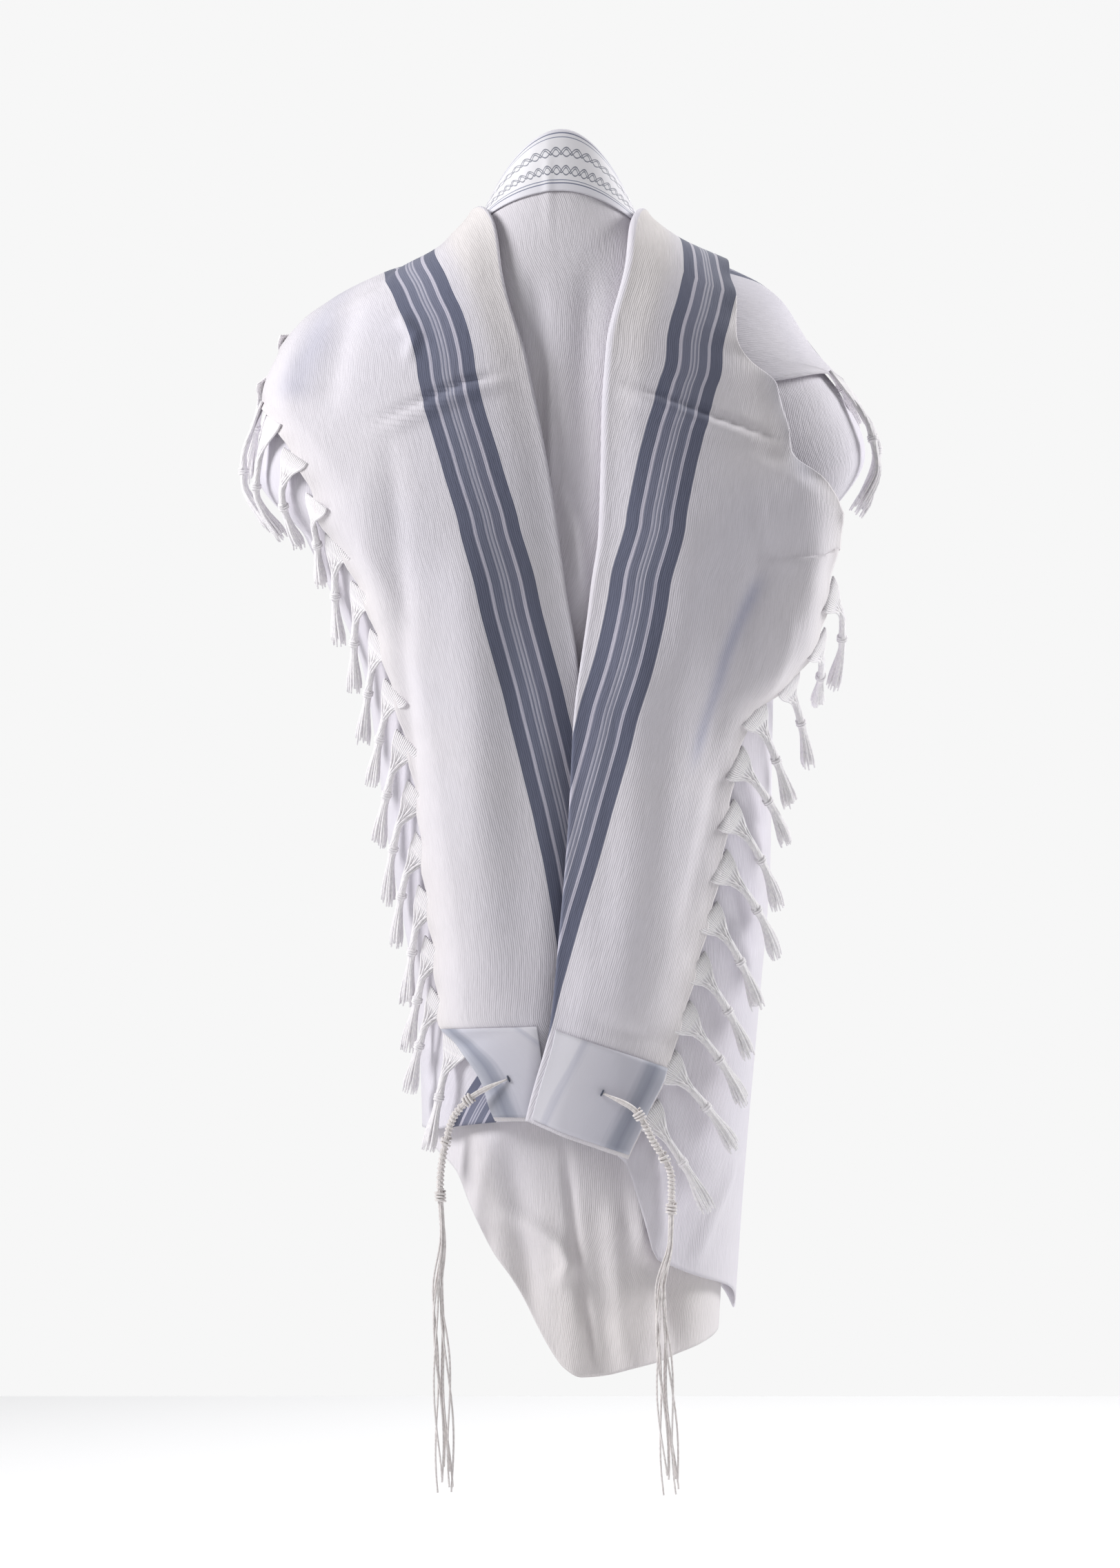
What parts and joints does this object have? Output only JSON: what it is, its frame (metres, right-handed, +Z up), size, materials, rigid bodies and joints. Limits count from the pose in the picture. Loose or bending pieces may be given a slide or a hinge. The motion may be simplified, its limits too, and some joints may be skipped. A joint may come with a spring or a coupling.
{
  "type": "tallit prayer shawl",
  "caption": "Worn wool prayer shawl with grey woven bands, a satin neckband, knotted side fringes and a wound tassel at each corner.",
  "frame": {"origin": "middle of the neck's base, where the wearer's shoulders hold the shawl", "axes": "+Z up, +X to the right of someone who looks at the back, -Y out of the back"},
  "size_m": [0.6736, 0.3796, 1.4183],
  "materials": {
    "wool": "plain woven wool",
    "satin": "satin",
    "wool_fringe": "knotted wool yarn",
    "wool_cord": "spun wool cord"
  },
  "bodies": {
    "root": {"back_drape": "wool", "left_shoulder_fold": "wool", "right_shoulder_fold": "wool", "right_arm_fold": "wool", "neckband": "satin", "corner_patch_back_left": "satin", "corner_patch_back_right": "satin", "corner_patch_front_left": "satin", "corner_patch_front_right": "satin", "fringe_left": "wool_fringe", "fringe_right": "wool_fringe", "fringe_right_arm": "wool_fringe", "tassel_back_left": "wool_cord", "tassel_back_right": "wool_cord", "tassel_front_left": "wool_cord", "tassel_front_right": "wool_cord"}
  },
  "joints": []
}
